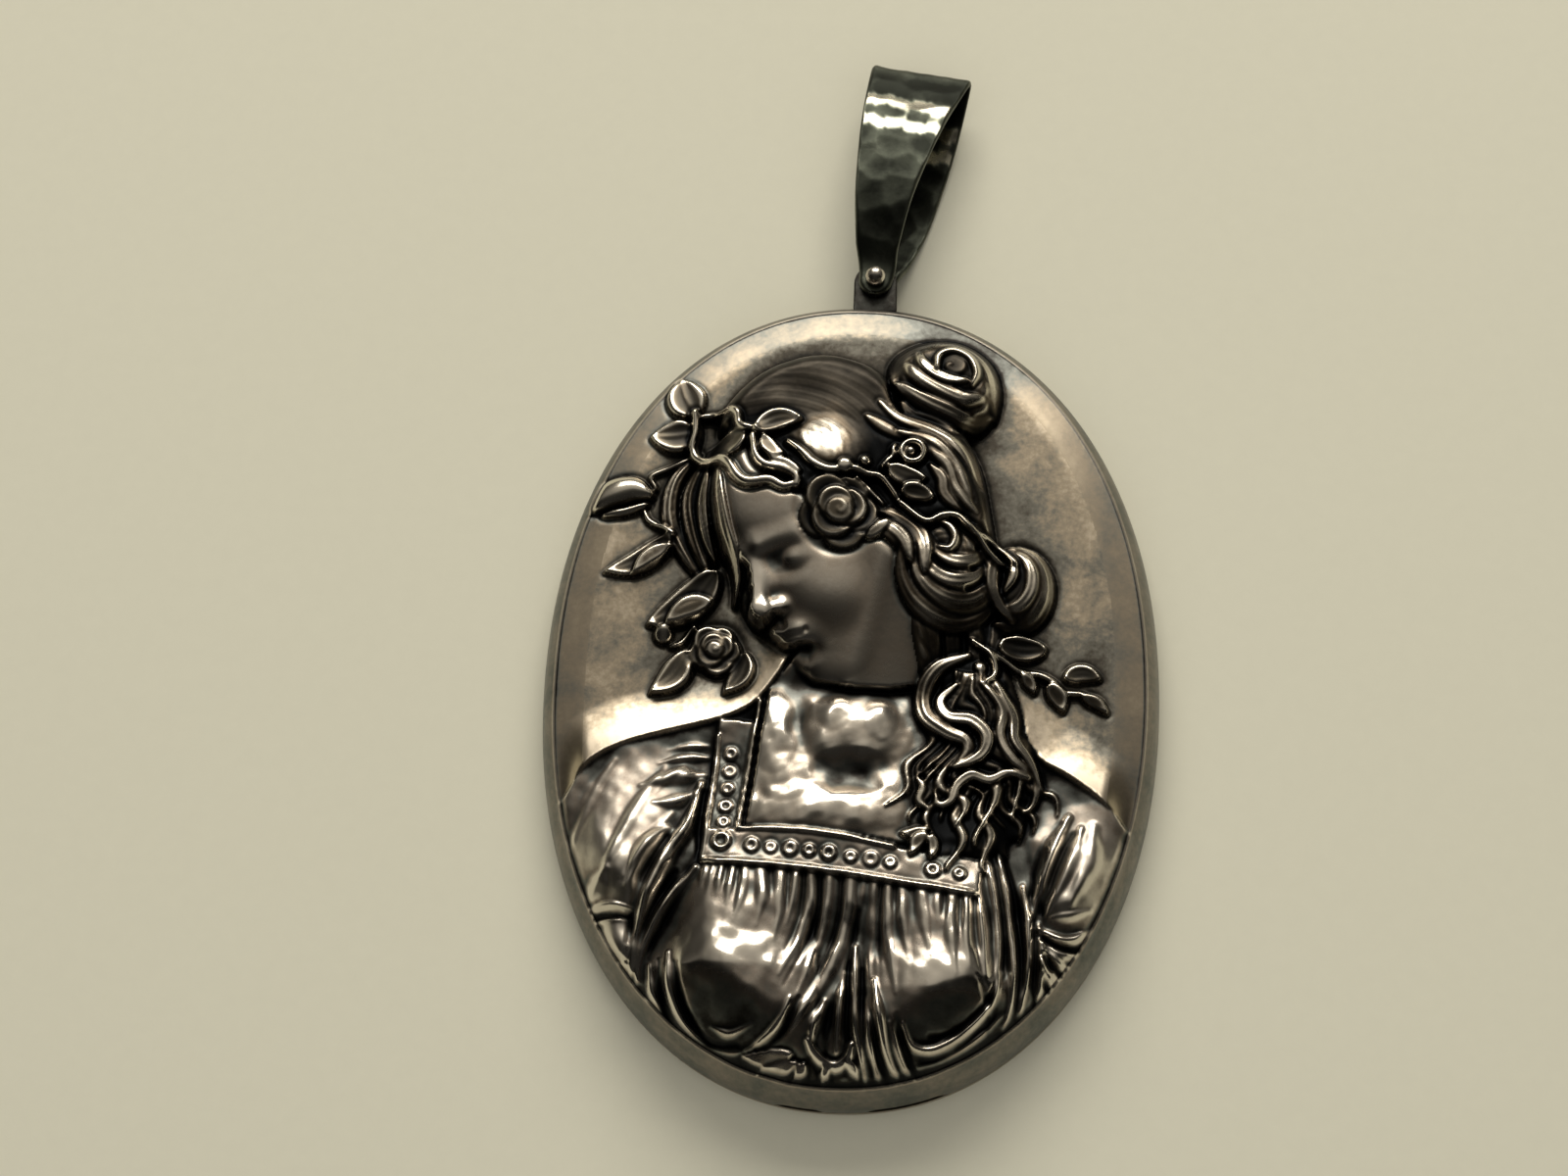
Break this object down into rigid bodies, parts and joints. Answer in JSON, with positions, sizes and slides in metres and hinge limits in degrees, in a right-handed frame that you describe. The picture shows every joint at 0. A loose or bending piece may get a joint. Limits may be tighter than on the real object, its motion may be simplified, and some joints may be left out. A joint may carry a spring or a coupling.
{
  "type": "medallion pendant",
  "caption": "Oval hollow medallion pendant struck in high relief with a classical maiden and rose garland, on a folded swivelling bail.",
  "frame": {"origin": "middle of the flat back face of the oval case", "axes": "+Z out of the struck front, +Y along the oval's long axis towards the bail, +X to the right"},
  "size_m": [0.0368, 0.0672, 0.008],
  "materials": {
    "darkened_silver": "oxidised silver, dark in the hollows and polished on the high places",
    "plain_silver": "plain tarnished silver with fine wear",
    "hammered_silver": "hammered silver, dark tarnish with bright facets",
    "rivet_silver": "polished silver ball heads in a dark surround"
  },
  "bodies": {
    "medallion": {"struck_front": "darkened_silver", "back_plate": "plain_silver"},
    "bail": {"bail": "hammered_silver", "rivet": "rivet_silver"}
  },
  "joints": [
    {"name": "bail_swivel", "type": "hinge", "parent": "medallion", "child": "bail", "pos_m": [0.0008, 0.0263, 0.0025], "axis": [0, 0, 1], "range_deg": [-65, 84]}
  ]
}
